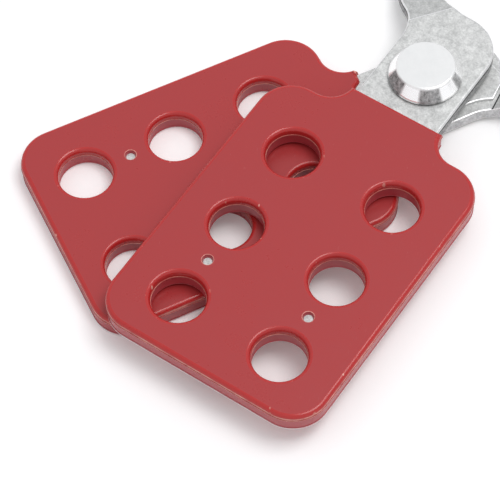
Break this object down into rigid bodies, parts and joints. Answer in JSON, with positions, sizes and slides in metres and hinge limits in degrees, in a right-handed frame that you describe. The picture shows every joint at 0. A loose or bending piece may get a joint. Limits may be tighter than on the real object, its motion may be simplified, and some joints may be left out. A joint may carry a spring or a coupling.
{
  "type": "lockout hasp",
  "caption": "Scissor lockout hasp: two riveted steel jaw plates with moulded red handles, each with two columns of padlock holes.",
  "frame": {"origin": "pivot axis at the rivet's flat tail, level with the rear handle's underside", "axes": "+Z along the pivot towards the rivet's head, +Y from the pivot away from the rear handle, towards the jaws; the rear half lies square to the axes and the front half is open by 30.4 degrees"},
  "size_m": [0.0881, 0.1216, 0.0113],
  "materials": {
    "plated_steel": "satin zinc plating",
    "red_nylon": "satin moulded",
    "rivet_steel": "bright plated"
  },
  "bodies": {
    "rear_half": {"rear_jaw_plate": "plated_steel", "rear_handle": "red_nylon", "pivot_rivet": "rivet_steel"},
    "front_half": {"front_jaw_plate": "plated_steel", "front_handle": "red_nylon"}
  },
  "joints": [
    {"name": "pivot", "type": "hinge", "parent": "rear_half", "child": "front_half", "pos_m": [0, 0, 0], "axis": [0, 0, 1], "range_deg": [-30.4, 48]}
  ]
}
